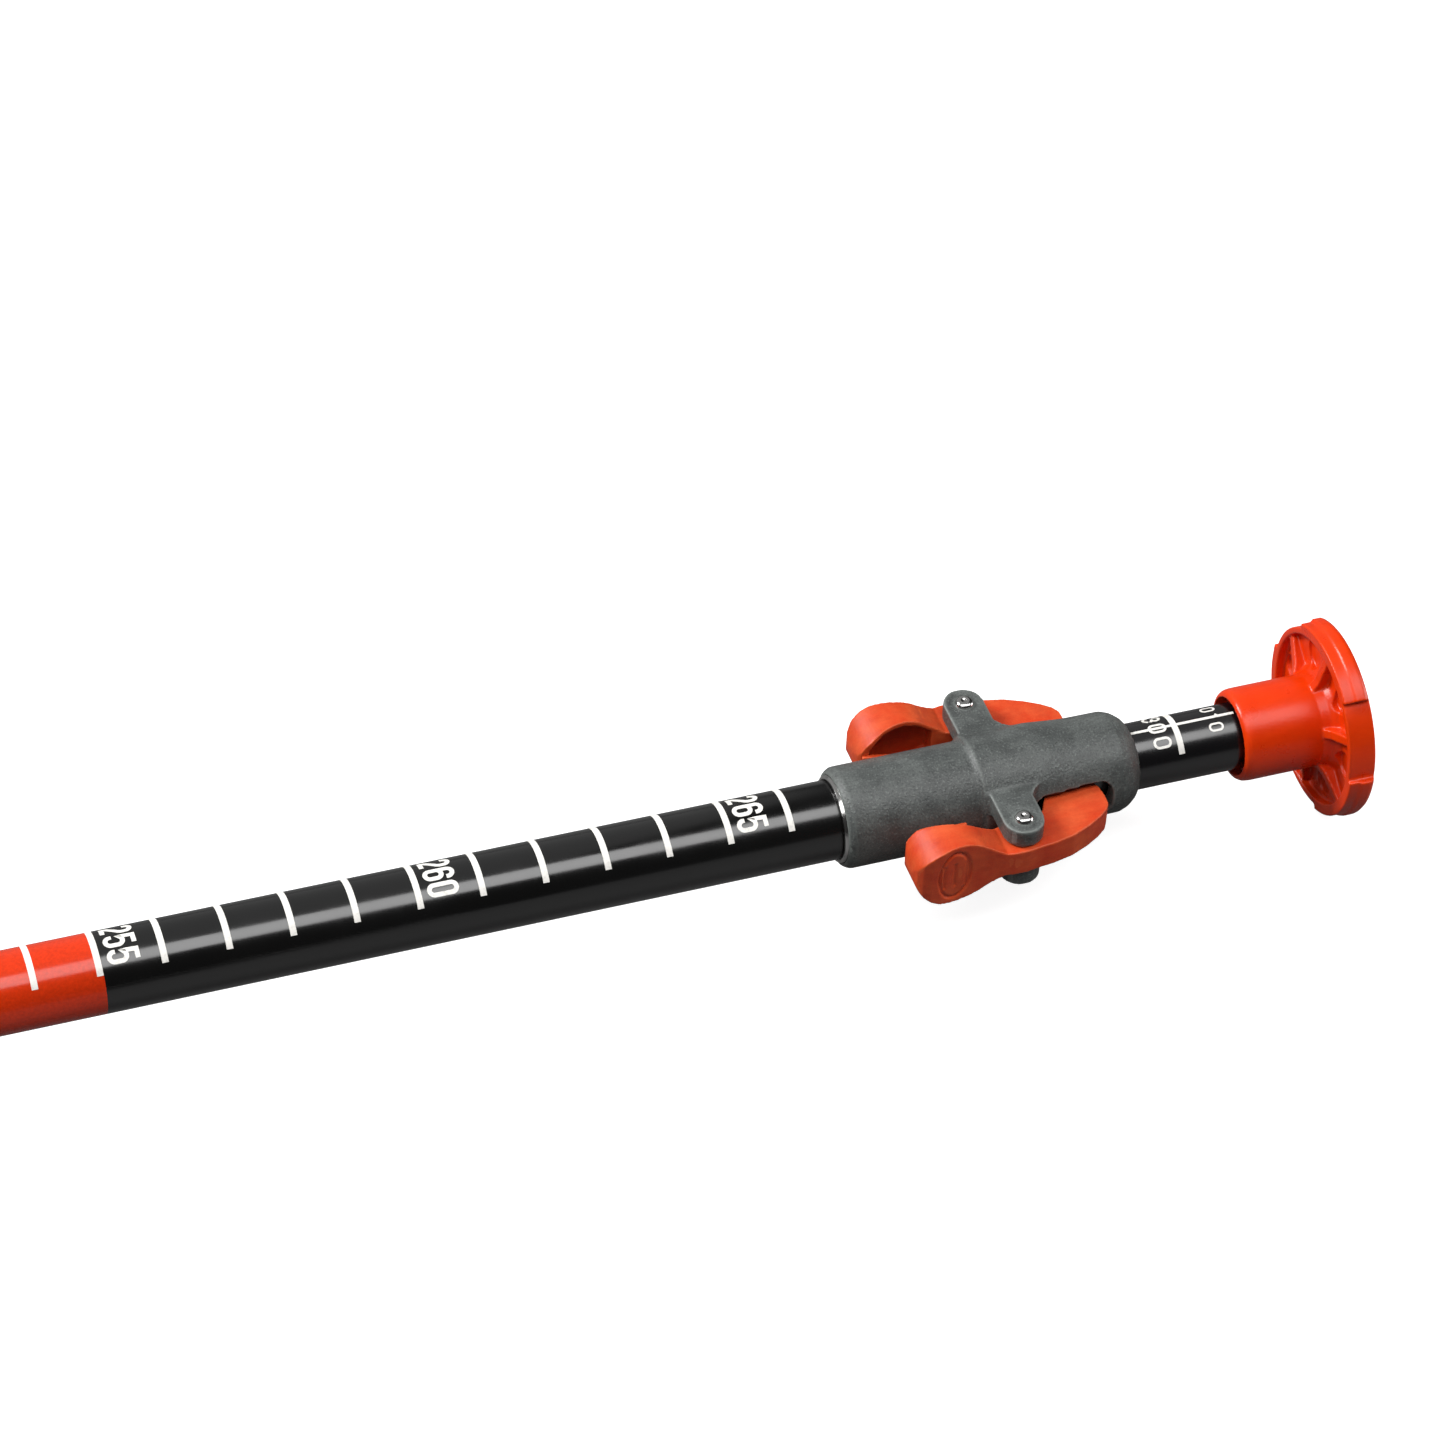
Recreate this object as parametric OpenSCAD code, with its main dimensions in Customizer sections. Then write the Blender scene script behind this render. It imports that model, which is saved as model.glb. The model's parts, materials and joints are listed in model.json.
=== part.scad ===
// Collapsible snow probe: six tubes on one pull cord, a squeeze lock and a pull handle.
// The top section lies along X with the handle at +X, the levers' pins run along Z,
// and the other five sections are folded beside it as a flat bundle.

/* [Sections] */
// Length of one section, mm
section_len = 450; // [300:600]
// Outside diameter of a section tube, mm
tube_od = 12.8; // [10:0.1:16]
// Bore of a section tube, mm
tube_id = 11.0; // [8:0.1:14]
// Exposed length of a ferrule, mm
ferrule_out = 15; // [12:30]
// Bonded length of a ferrule, mm
ferrule_in = 25; // [15:50]
// Bore of a ferrule, mm
ferrule_id = 8.4; // [4:0.1:9]
// Cord diameter, mm
cord_d = 2.0; // [1.5:0.1:3]

/* [Bundle] */
// Distance between neighbouring tubes in the bundle, mm
pitch = 13.6; // [13.2:0.1:16]
// Distance from the top section to its neighbour when folded, mm
top_pitch = 26; // [24:30]
// Angle the bundle is splayed from the top section, degrees
splay = 22; // [0:40]

/* [Scale] */
// Scale value at the lock's lower face, mm from the tip
lock_reading = 2668.5; // [2600:0.5:2700]
// Scale value at the top section's lower end, mm from the tip
top_start = 2250; // [2000:2300]
// Handle travel, mm
stroke = 274; // [200:300]

/* [Lock] */
// Length of the lock housing, mm
lock_len = 50; // [45:60]
// Outside diameter of the lock housing, mm
lock_od = 16.4; // [15:0.1:20]
// Outside diameter of the raised saddle, mm
saddle_od = 17.6; // [16.6:0.1:20]
// Distance of the lever pins along the lock, mm
pin_x = 26.7; // [20:0.1:32]
// Distance of the lever pins from the tube axis, mm
pin_y = 13.55; // [12:0.05:16]
// Lever pin diameter, mm
pin_d = 2.6; // [2:0.1:4]
// Radius of an ear, mm
ear_r = 3.3; // [3:0.1:4.5]
// Inner face of an ear, mm from the middle
ear_in = 2.6; // [2.4:0.05:4]
// Outer face of an ear, mm from the middle
ear_out = 5.8; // [5:0.1:7]

/* [Levers] */
// Thickness of a lever between the ears, mm
lever_t = 4.7; // [3:0.1:5]
// Width of the finger pad, mm
pad_w = 12; // [8:0.5:16]
// Lever travel when squeezed, degrees
lever_travel = 6; // [3:8]

/* [Inner tube and handle] */
// Outside diameter of the inner tube, mm
inner_od = 10.84; // [8:0.02:12]
// Bore of the inner tube, mm
inner_id = 9.2; // [6:0.1:10]
// Length of inner tube left inside the top section at full travel, mm
inner_keep = 59.2; // [40:80]
// Outside diameter of the handle hub, mm
hub_d = 15.2; // [13:0.1:18]
// Start of the hub from the lock's lower face, mm
hub_x = 67.6; // [60:0.1:80]
// Lower face of the handle disc from the lock's lower face, mm
disc_x = 83.4; // [75:0.1:90]
// Radius of the handle disc, mm
disc_r = 16.4; // [14:0.1:20]
// Thickness of the handle disc, mm
disc_t = 3.0; // [2:0.1:5]
// Height of the rim wall on the handle disc, mm
rim_h = 1.5; // [1:0.1:5]
// Width of the rim wall, mm
rim_w = 2.3; // [1.5:0.1:4]
// Height of the crowned end of the handle, mm
crown_h = 2.6; // [1:0.1:6]

/* [Tip] */
// Diameter of the tip spigot, mm
spigot_d = 9.0; // [7:0.1:11]
// Length of the tip spigot, mm
spigot_len = 10; // [6:20]
// Length of the tip nose, mm
nose_len = 12; // [8:20]

/* [Hidden] */
$fn = 96;
eps = 0.02;
ferrule_od = inner_od;
face_x = disc_x + disc_t + crown_h;      // end face of the handle
top_x0 = -(lock_reading - top_start);    // lower end of the top section's tube
hinge_out = (ferrule_out + 1.5) / 2;     // fold axis beyond a tube's end
fold_x = top_x0 - hinge_out;             // first fold axis
fold_y = -top_pitch / 2;
loop_r = pitch / 2;
loop_out = ferrule_out + 1;              // start of a cord loop beyond a tube's end
cord_r = cord_d / 2;
run_in = ferrule_out + 0.2;               // a section's own cord starts this far inside its mouth
// first loop: tangent to the top section's axis and to the second section's axis
sa = sin(splay);
ca = cos(splay);
mouth_x = fold_x + hinge_out * ca - (top_pitch / 2) * sa;
mouth_y = fold_y - hinge_out * sa - (top_pitch / 2) * ca;
bend_x = top_x0 - loop_out - 3;
bend_r = ((bend_x - mouth_x) * sa - mouth_y * ca) / (1 + ca);
tan_x = bend_x - bend_r * sa;
tan_y = -bend_r - bend_r * ca;
tail = (mouth_x - tan_x) / ca;           // straight cord back to the second section's mouth

steel = [0.75, 0.76, 0.78];
black = [0.05, 0.05, 0.055];
grey = [0.36, 0.37, 0.36];
red = [0.78, 0.20, 0.12];
bright_red = [0.86, 0.17, 0.06];
cord_col = [0.82, 0.80, 0.74];
alu = [0.62, 0.63, 0.65];

// ---- frames ----

// shape built from the lock's lower face, moved so the handle's end face is the origin
module on_top() translate([-face_x, 0, 0]) children();

// shape built in the bundle's own frame: origin on the first fold axis, tubes along X
module in_bundle() on_top() translate([fold_x, fold_y, 0]) rotate([0, 0, -splay]) children();

// lateral place of section k (0 is the second section)
function lane(k) = -top_pitch / 2 - k * pitch;

// section k, built along X from its mouth at 0 to its far end at section_len
module section(k) in_bundle() {
  if (k % 2 == 0) translate([hinge_out, lane(k), 0]) children();
  else translate([hinge_out + section_len, lane(k), 0]) rotate([0, 0, 180]) children();
}

module bar(d, x0, x1) translate([x0, 0, 0]) rotate([0, 90, 0]) cylinder(h = x1 - x0, d = d);

module pipe(od, id, x0, x1) difference() {
  bar(od, x0, x1);
  bar(id, x0 - 1, x1 + 1);
}

// solid turned about X from a profile of [x, r] points
module turned(profile) rotate([90, 0, 90]) rotate_extrude() polygon([for (p = profile) [p[1], p[0]]]);

// ---- sections ----

module tube_body(len) {
  e = 0.35;
  turned([[0, tube_id / 2], [len, tube_id / 2], [len, tube_od / 2 - e], [len - e, tube_od / 2],
          [e, tube_od / 2], [0, tube_od / 2 - e]]);
}

// ferrule at a tube's far end: bonded length inside, a chamfered nose outside
module ferrule_body(x_end) difference() {
  union() {
    bar(tube_id, x_end - ferrule_in, x_end);
    turned([[x_end - 0.5, 0], [x_end + ferrule_out, 0], [x_end + ferrule_out, ferrule_od / 2 - 1],
            [x_end + ferrule_out - 1.6, ferrule_od / 2], [x_end - 0.5, ferrule_od / 2]]);
  }
  bar(ferrule_id, x_end - ferrule_in - 1, x_end + ferrule_out + 1);
}

module section_tube(k) section(k) tube_body(section_len);
module section_ferrule(k) section(k) ferrule_body(section_len);
module section_cord(k) section(k) bar(cord_d, run_in, section_len + ferrule_out);

module section_a_tube() color(black) on_top() translate([top_x0, 0, 0]) tube_body(24 - top_x0);
module section_a_ferrule() color(alu) on_top() mirror([1, 0, 0]) ferrule_body(-top_x0);
module section_a_cord() color(cord_col) on_top()
  bar(cord_d, top_x0 - ferrule_out, hub_x - stroke - inner_keep - 20);

module section_b_tube() color(black) section_tube(0);
module section_c_tube() color(black) section_tube(1);
module section_d_tube() color(black) section_tube(2);
module section_e_tube() color(black) section_tube(3);
module section_f_tube() color(black) section_tube(4);
module section_b_ferrule() color(alu) section_ferrule(0);
module section_c_ferrule() color(alu) section_ferrule(1);
module section_d_ferrule() color(alu) section_ferrule(2);
module section_e_ferrule() color(alu) section_ferrule(3);
module section_b_cord() color(cord_col) section_cord(0);
module section_c_cord() color(cord_col) section_cord(1);
module section_d_cord() color(cord_col) section_cord(2);
module section_e_cord() color(cord_col) section_cord(3);
module section_f_cord() color(cord_col) section(4) bar(cord_d, run_in, section_len - 46);

// crimped stop at the cord's lower end, behind the tip
module cord_stop() color(steel) section(4) difference() {
  turned([[section_len - 46, 0], [section_len - 46, 2.2], [section_len - 45, 3.0],
          [section_len - 36, 3.0], [section_len - 35, 2.2], [section_len - 35, 0]]);
  translate([section_len - 40.5, 0, 0]) rotate([0, 0, 0]) translate([0, 0, 2.6])
    rotate([90, 0, 0]) cylinder(h = 8, d = 1.2, center = true);
}

// turned tip: bonded plug, collar, spigot and rounded nose
module probe_tip() color(steel) section(4) union() {
  difference() {
    bar(tube_id, section_len - 30, section_len);
    bar(5, section_len - 31, section_len - 18);
  }
  turned([[section_len - 0.01, 0], [section_len, tube_od / 2 - 0.3], [section_len + 0.4, tube_od / 2],
          [section_len + 3.4, tube_od / 2], [section_len + 4, tube_od / 2 - 0.6],
          [section_len + 4, spigot_d / 2], [section_len + 4 + spigot_len, spigot_d / 2],
          [section_len + 4 + spigot_len + nose_len - 1.4, 1.9],
          [section_len + 4 + spigot_len + nose_len - 0.4, 1.2],
          [section_len + 4 + spigot_len + nose_len, 0]]);
}

// ---- cord loops between folded sections ----

// half turn at a fold between sections k and k+1, with a stub that meets the cord in the ferrule
module at_fold(k) {
  right = k % 2 == 0;
  in_bundle() translate([right ? hinge_out + section_len + loop_out : hinge_out - loop_out,
                         (lane(k) + lane(k + 1)) / 2, 0])
    mirror([right ? 0 : 1, 0, 0]) children();
}
module fold_loop(k) at_fold(k) {
  rotate([0, 0, -90]) rotate_extrude(angle = 180) translate([loop_r, 0]) circle(r = cord_r);
  translate([0, loop_r, 0]) bar(cord_d, -1, 0.02);
}
// straight cord from the half turn into the next mouth
module fold_tail(k) at_fold(k) translate([0, -loop_r, 0]) bar(cord_d, -loop_out - run_in, 0);

module loop_ab() color(cord_col) on_top() {
  translate([bend_x, -bend_r, 0]) rotate([0, 0, 90]) rotate_extrude(angle = 180 - splay)
    translate([bend_r, 0]) circle(r = cord_r);
  bar(cord_d, bend_x - 0.05, top_x0 - ferrule_out);
}
module tail_ab() color(cord_col) on_top()
  translate([tan_x, tan_y, 0]) rotate([0, 0, -splay]) bar(cord_d, 0.01, tail + run_in);
module loop_bc() color(cord_col) fold_loop(0);
module loop_cd() color(cord_col) fold_loop(1);
module loop_de() color(cord_col) fold_loop(2);
module loop_ef() color(cord_col) fold_loop(3);
module tail_bc() color(cord_col) fold_tail(0);
module tail_cd() color(cord_col) fold_tail(1);
module tail_de() color(cord_col) fold_tail(2);
module tail_ef() color(cord_col) fold_tail(3);

// ---- lock ----

// rounded slot across the wall for one jaw
module jaw_window() {
  w = 3.6;
  x0 = 30.6;
  x1 = 44.4;
  r = 2.6;
  translate([0, 4, 0]) {
    translate([x0, 0, -w + r]) cube([x1 - x0, 8, 2 * (w - r)]);
    translate([x0 + r, 0, -w]) cube([x1 - x0 - 2 * r, 8, 2 * w]);
    for (x = [x0 + r, x1 - r]) for (z = [-w + r, w - r])
      translate([x, 0, z]) rotate([-90, 0, 0]) cylinder(h = 8, r = r);
  }
}

// one ear plate with its foot on the housing
module ear_plate() {
  t = ear_out - ear_in;
  translate([0, 0, ear_in]) {
    translate([pin_x, pin_y, 0]) cylinder(h = t, r = ear_r);
    translate([pin_x - ear_r, 2, 0]) cube([2 * ear_r, pin_y - 2, t]);
    // flared root on the handle side
    linear_extrude(t) polygon([[pin_x + ear_r - 0.2, 9.2], [pin_x + ear_r + 0.9, 7.6], [pin_x + ear_r + 2.4, 6.6],
                               [pin_x + ear_r + 4, 6.0], [pin_x + ear_r + 4, 3], [pin_x, 3]]);
  }
}

module lock_housing() color(grey) on_top() difference() {
  union() {
    turned([[0, 0], [0, lock_od / 2 - 1.3], [0.4, lock_od / 2 - 0.5], [1.3, lock_od / 2],
            [22.5, lock_od / 2], [22.5, saddle_od / 2 - 0.3], [22.9, saddle_od / 2], [34, saddle_od / 2],
            [40, lock_od / 2 + 0.05], [lock_len - 3.4, lock_od / 2],
            [lock_len - 2, lock_od / 2 - 0.5], [lock_len - 0.8, lock_od / 2 - 1.4],
            [lock_len - 0.2, lock_od / 2 - 2.2], [lock_len, lock_od / 2 - 2.5], [lock_len, 0]]);
    for (my = [0, 1]) for (mz = [0, 1]) mirror([0, my, 0]) mirror([0, 0, mz]) ear_plate();
  }
  // socket for the section tube, then the guide bore
  bar(tube_od, -1, 24);
  bar(tube_id, 0, lock_len + 1);
  // seat of the bright bush
  bar(14.1, -1, 5);
  for (my = [0, 1]) mirror([0, my, 0]) {
    jaw_window();
    translate([pin_x, pin_y, -10]) cylinder(h = 20, d = pin_d);
    for (mz = [0, 1]) mirror([0, 0, mz]) translate([pin_x, pin_y, ear_out - 0.35]) difference() {
      cylinder(h = 1, d = 4.6);
      translate([0, 0, -1]) cylinder(h = 3, d = 3.7);
    }
  }
}

module collar_bush() color(steel) on_top() difference() {
  turned([[-0.35, 0], [-0.35, 6.75], [-0.1, 7.05], [5, 7.05], [5, 0]]);
  bar(tube_od, -2, 6);
}

// steel pin with a domed, dimpled head at each end
module lever_pin() difference() {
  union() {
    cylinder(h = 2 * (ear_out + 0.15), d = pin_d, center = true);
    for (mz = [0, 1]) mirror([0, 0, mz]) translate([0, 0, ear_out]) cylinder(h = 0.45, d1 = 3.2, d2 = 2.2);
  }
  for (mz = [0, 1]) mirror([0, 0, mz]) translate([0, 0, ear_out + 0.95]) sphere(r = 0.8);
}
module near_pin() color(steel) on_top() translate([pin_x, -pin_y, 0]) lever_pin();
module far_pin() color(steel) on_top() translate([pin_x, pin_y, 0]) lever_pin();

// ---- levers (drawn for the +Y side) ----

// finger pad: a plate, oval in plan, with an end wall turned in
module pad() intersection() {
  // rounded plan of the pad, tapering to the neck
  rotate([-90, 0, 0]) linear_extrude(20) union() {
    translate([14.6, 0]) scale([7.3, pad_w / 2]) circle(r = 1);
    polygon([[14.6, -pad_w / 2], [16.8, -pad_w / 2 + 0.3], [18.6, -4.9], [20.2, -4.0], [21.6, -3.1], [23, -lever_t / 2],
             [23, lever_t / 2], [21.6, 3.1], [20.2, 4.0], [18.6, 4.9], [16.8, pad_w / 2 - 0.3], [14.6, pad_w / 2]]);
  }
  linear_extrude(20, center = true)
    polygon([[7.3, 12.6], [7.3, 15.0], [7.7, 16.3], [8.6, 17.1], [10, 17.45], [12, 17.45], [14, 17.15], [16, 16.9],
             [18, 16.8], [20, 16.85], [21.6, 17.05], [23, 17.3], [23, 11.4], [21, 11.8], [19.5, 12.0], [18, 12.05],
             [16, 11.9], [14, 11.5], [12, 11.0], [10.7, 10.5], [9.8, 10.2], [8.1, 10.2], [7.6, 10.9]]);
}

module lever() difference() {
  union() {
    pad();
    // neck and jaw
    translate([0, 0, -lever_t / 2]) linear_extrude(lever_t)
      polygon([[21, 16.95], [22.6, 17.2], [24.2, 17.5], [26.5, 17.5], [29, 17.1], [31, 16.9], [34.6, 16.1], [37.6, 14.8],
               [40, 13.4], [41.6, 12.1], [42.3, 10.9], [42.4, 9.2], [42.2, 7.2], [41.6, 5.62], [33.6, 5.62], [32.6, 7.6],
               [31.6, 9.6], [30, 10.2], [25, 10.6], [21, 11.8]]);
  }
  translate([pin_x, pin_y, -5]) cylinder(h = 10, d = pin_d + 0.12);
  // shallow grip grooves across the pad
  for (g = [[12.4, 17.62], [14.4, 17.35], [16.4, 17.12]]) translate([g[0], g[1], 0]) cylinder(h = 5, d = 0.9, center = true);
}
module far_lever() color(red) on_top() lever();
module near_lever() color(red) on_top() mirror([0, 1, 0]) lever();

// thin strip from the pad's turned-in end to the housing
module spring_strip() translate([0, 0, -2]) linear_extrude(4)
  polygon([[8.1, 10.2], [9.8, 10.2], [11, 9.9], [13, 9.5], [16, 9.1], [18.6, 8.95], [19.4, 8.75], [19.3, 8.4],
           [18.6, 8.26], [16, 8.35], [13, 8.8], [10.8, 9.25], [9.2, 9.55], [8.1, 9.7]]);
module far_spring_strip() color(red) on_top() spring_strip();
module near_spring_strip() color(red) on_top() mirror([0, 1, 0]) spring_strip();

// ---- inner tube and handle ----

module inner_tube() color(black) on_top()
  pipe(inner_od, inner_id, hub_x - stroke - inner_keep + 0, disc_x - 0.5);

// ring sector about X, from angle a0 to a1 (less than 180 degrees apart)
module ring_sector(r0, r1, x0, x1, a0, a1) intersection() {
  pipe(2 * r1, 2 * r0, x0, x1);
  translate([x0, 0, 0]) rotate([90, 0, 90]) linear_extrude(x1 - x0)
    polygon([[0, 0], [2 * r1 * cos(a0), 2 * r1 * sin(a0)], [2.2 * r1 * cos((a0 + a1) / 2), 2.2 * r1 * sin((a0 + a1) / 2)],
             [2 * r1 * cos(a1), 2 * r1 * sin(a1)]]);
}

module pull_handle() color(bright_red) on_top() difference() {
  union() {
    turned([[hub_x, 0], [hub_x, hub_d / 2 - 0.95], [hub_x + 0.25, hub_d / 2 - 0.45], [hub_x + 0.9, hub_d / 2 - 0.1],
            [hub_x + 1.8, hub_d / 2],
            [disc_x - 2.6, hub_d / 2], [disc_x - 1.2, hub_d / 2 + 0.35], [disc_x - 0.3, hub_d / 2 + 1.1],
            [disc_x + 0.5, hub_d / 2 + 2.2], [disc_x + 0.5, 0]]);
    // base disc with a rounded rim and the crowned end
    turned([[disc_x, 0], [disc_x, disc_r - 0.6], [disc_x + 0.6, disc_r], [disc_x + disc_t - 1, disc_r],
            [disc_x + disc_t - 0.3, disc_r - 0.4], [disc_x + disc_t, disc_r - 1.2],
            [disc_x + disc_t + 1.2, disc_r - 4.2], [disc_x + disc_t + 2.2, disc_r - 7],
            [disc_x + disc_t + crown_h, disc_r - 10.4], [disc_x + disc_t + crown_h, 0]]);
    // rim wall facing the lock
    pipe(2 * disc_r - 0.8, 2 * (disc_r - rim_w), disc_x - rim_h, disc_x + 0.3);
    // ribs from the hub to the rim
    for (a = [34 : 60 : 334]) translate([disc_x, 0, 0]) rotate([a, 0, 0]) translate([0, 0, -0.8]) linear_extrude(1.6)
      polygon([[-2.8, 6.4], [-2.8, 7.4], [-1.9, 9.2], [-0.9, disc_r - rim_w + 0.4], [0.5, disc_r - rim_w + 0.4], [0.5, 6.4]]);
  }
  // three shallow flats round the edge between the lobes
  for (a = [9, 129, 249])
    ring_sector(disc_r - 1.25, disc_r + 3, disc_x - rim_h - 1, disc_x + disc_t + 0.6, a, a + 50);
  // shallow pockets in the disc between the ribs
  for (a = [64 : 60 : 364]) translate([disc_x - 0.02, 0, 0]) rotate([a, 0, 0])
    translate([-1, hub_d / 2 + 3.4, 0]) rotate([0, 90, 0]) scale([1, 1.25, 1]) cylinder(h = 1.6, r = 2.1);
  bar(inner_od, hub_x - 1, disc_x - 0.5);
  // relieved mouth round the inner tube
  bar(12.9, hub_x - 1, hub_x + 2.2);
  // seat of the screw
  translate([hub_x + 6, 0, -hub_d]) cylinder(h = hub_d, d = 2.44);
  translate([hub_x + 6, 0, -hub_d]) cylinder(h = hub_d / 2 + 0.5, d = 4.4);
}

module handle_screw() color(black) on_top() translate([hub_x + 6, 0, 0]) difference() {
  union() {
    translate([0, 0, -hub_d / 2 - 0.9]) cylinder(h = 1.4, d = 4.2);
    translate([0, 0, -hub_d / 2]) cylinder(h = 1.8, d = 2.4);
  }
  translate([0, 0, -hub_d / 2 - 1.4]) cylinder(h = 1.1, d = 2.2, $fn = 6);
}

// plug at the inner tube's lower end that holds the cord
module cord_anchor() color(alu) on_top() translate([hub_x - stroke - inner_keep, 0, 0]) difference() {
  union() {
    bar(inner_id, 0, 14);
    turned([[-20, 0], [-20, 2.2], [-19, 3], [-4, 3], [-2.4, inner_od / 2], [0, inner_od / 2], [0, 0]]);
  }
  translate([6, 0, -8]) cylinder(h = 16, d = 2.2);
}

// ---- parts ----

section_a_tube();
section_a_ferrule();
section_a_cord();
lock_housing();
collar_bush();
near_pin();
far_pin();
near_lever();
far_lever();
near_spring_strip();
far_spring_strip();
inner_tube();
pull_handle();
handle_screw();
cord_anchor();
loop_ab();
loop_bc();
loop_cd();
loop_de();
loop_ef();
tail_ab();
tail_bc();
tail_cd();
tail_de();
tail_ef();
section_b_tube();
section_b_ferrule();
section_b_cord();
section_c_tube();
section_c_ferrule();
section_c_cord();
section_d_tube();
section_d_ferrule();
section_d_cord();
section_e_tube();
section_e_ferrule();
section_e_cord();
section_f_tube();
section_f_cord();
cord_stop();
probe_tip();
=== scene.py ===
import json
import logging
import math
from dataclasses import dataclass, field
from enum import Enum
from typing import Callable, Iterable, Sequence, Union

import bmesh
import bpy
from mathutils import Matrix, Vector

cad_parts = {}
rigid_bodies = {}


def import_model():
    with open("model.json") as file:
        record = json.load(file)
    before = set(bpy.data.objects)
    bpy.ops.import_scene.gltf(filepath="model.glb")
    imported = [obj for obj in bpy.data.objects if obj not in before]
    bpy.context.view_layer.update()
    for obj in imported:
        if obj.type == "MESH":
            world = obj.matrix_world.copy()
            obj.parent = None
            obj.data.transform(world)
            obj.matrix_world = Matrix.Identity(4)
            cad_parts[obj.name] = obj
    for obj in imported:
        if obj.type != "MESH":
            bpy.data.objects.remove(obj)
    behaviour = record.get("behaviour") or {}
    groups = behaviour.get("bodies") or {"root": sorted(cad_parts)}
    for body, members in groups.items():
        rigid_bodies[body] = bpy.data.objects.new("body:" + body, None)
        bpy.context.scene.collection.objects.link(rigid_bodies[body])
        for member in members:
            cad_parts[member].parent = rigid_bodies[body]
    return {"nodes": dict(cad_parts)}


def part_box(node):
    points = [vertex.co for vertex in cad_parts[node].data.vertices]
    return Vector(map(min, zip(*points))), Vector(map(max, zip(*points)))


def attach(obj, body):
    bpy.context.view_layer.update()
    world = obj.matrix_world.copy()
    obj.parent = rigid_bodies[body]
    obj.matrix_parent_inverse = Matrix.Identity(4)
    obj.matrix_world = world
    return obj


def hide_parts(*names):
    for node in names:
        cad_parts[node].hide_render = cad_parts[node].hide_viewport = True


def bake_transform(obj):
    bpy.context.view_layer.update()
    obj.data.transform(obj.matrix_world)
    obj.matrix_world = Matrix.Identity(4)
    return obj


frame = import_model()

LOG = logging.getLogger("snow_probe")
MM = 0.001
# sides round a tube
TUBE_STEPS = 128
# middle of the print round a tube in degrees, 90 on top
PRINT_ANGLE = 92.0

Pair = tuple[float, float]
Value = Union[float, int, tuple, bpy.types.NodeSocket]
Inputs = dict[Union[str, int], object]


# ---- colours and shader helpers ----


def linear(hex_code: str) -> tuple[float, float, float, float]:
    """Turns an sRGB hex colour into linear RGBA.

    Args:
        hex_code: six hex digits.

    Returns:
        Linear red, green, blue and alpha 1.
    """
    out = []
    for k in (0, 2, 4):
        c = int(hex_code[k : k + 2], 16) / 255
        out.append(c / 12.92 if c <= 0.04045 else ((c + 0.055) / 1.055) ** 2.4)
    return out[0], out[1], out[2], 1.0


def add_node(tree: bpy.types.NodeTree, kind: str, inputs: Inputs | None = None, **settings: object) -> bpy.types.Node:
    """Adds a node with its settings and its inputs.

    Args:
        tree: node tree that receives it.
        kind: full node type.
        inputs: socket name or number to a constant or to another node's output.
        settings: attributes of the node.

    Returns:
        The new node.
    """
    node = tree.nodes.new(kind)
    for key, value in settings.items():
        setattr(node, key, value)
    for key, value in (inputs or {}).items():
        if isinstance(value, bpy.types.NodeSocket):
            tree.links.new(value, node.inputs[key])
        else:
            node.inputs[key].default_value = value
    return node


class Shader:
    """One node material under construction."""

    def __init__(self, name: str) -> None:
        """Starts an empty material.

        Args:
            name: name of the material, its real substance first.
        """
        self.material = bpy.data.materials.new(name)
        self.material.use_nodes = True
        self.material.node_tree.nodes.clear()

    def add(self, kind: str, inputs: Inputs | None = None, **settings: object) -> bpy.types.Node:
        """Adds a shader node, named without its ShaderNode prefix."""
        return add_node(self.material.node_tree, "ShaderNode" + kind, inputs, **settings)

    def millimetres(self) -> bpy.types.NodeSocket:
        """Gives the object's own coordinates, in millimetres."""
        coords = self.add("TexCoord")
        return self.add("VectorMath", {0: coords.outputs["Object"], "Scale": 1000.0}, operation="SCALE").outputs[0]

    def noise(self, vector: Value, size_mm: float, detail: float = 3.0, rough: float = 0.55) -> bpy.types.NodeSocket:
        """Adds noise round 0.5 whose features are about size_mm across, for coordinates in millimetres."""
        node = self.add("TexNoise", {"Vector": vector, "Scale": 1 / size_mm, "Detail": detail, "Roughness": rough})
        return node.outputs["Fac"]

    def remap(self, value: Value, low: float, high: float, to_low: float, to_high: float) -> bpy.types.NodeSocket:
        """Maps the range low to high of a value to to_low to to_high, clamped."""
        return self.add("MapRange", {0: value, 1: low, 2: high, 3: to_low, 4: to_high}, clamp=True).outputs[0]

    def blend(self, factor: Value, first: Value, second: Value) -> bpy.types.NodeSocket:
        """Mixes two colours: factor 0 gives the first, 1 the second."""
        return self.add("Mix", {0: factor, 6: first, 7: second}, data_type="RGBA").outputs[2]

    def finish(self, bump: bpy.types.NodeSocket, depth_mm: float, **inputs: Value) -> bpy.types.Material:
        """Closes the material with a Principled shader.

        Args:
            bump: height between 0 and 1.
            depth_mm: height of that relief.
            inputs: Principled sockets, with underscores for spaces.

        Returns:
            The finished material.
        """
        sockets = {key.replace("_", " "): value for key, value in inputs.items()}
        sockets["Normal"] = self.add("Bump", {"Height": bump, "Distance": depth_mm * MM, "Strength": 1.0}).outputs[0]
        shader = self.add("BsdfPrincipled", sockets)
        self.add("OutputMaterial", {0: shader.outputs[0]})
        return self.material


# ---- finishes ----


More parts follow.
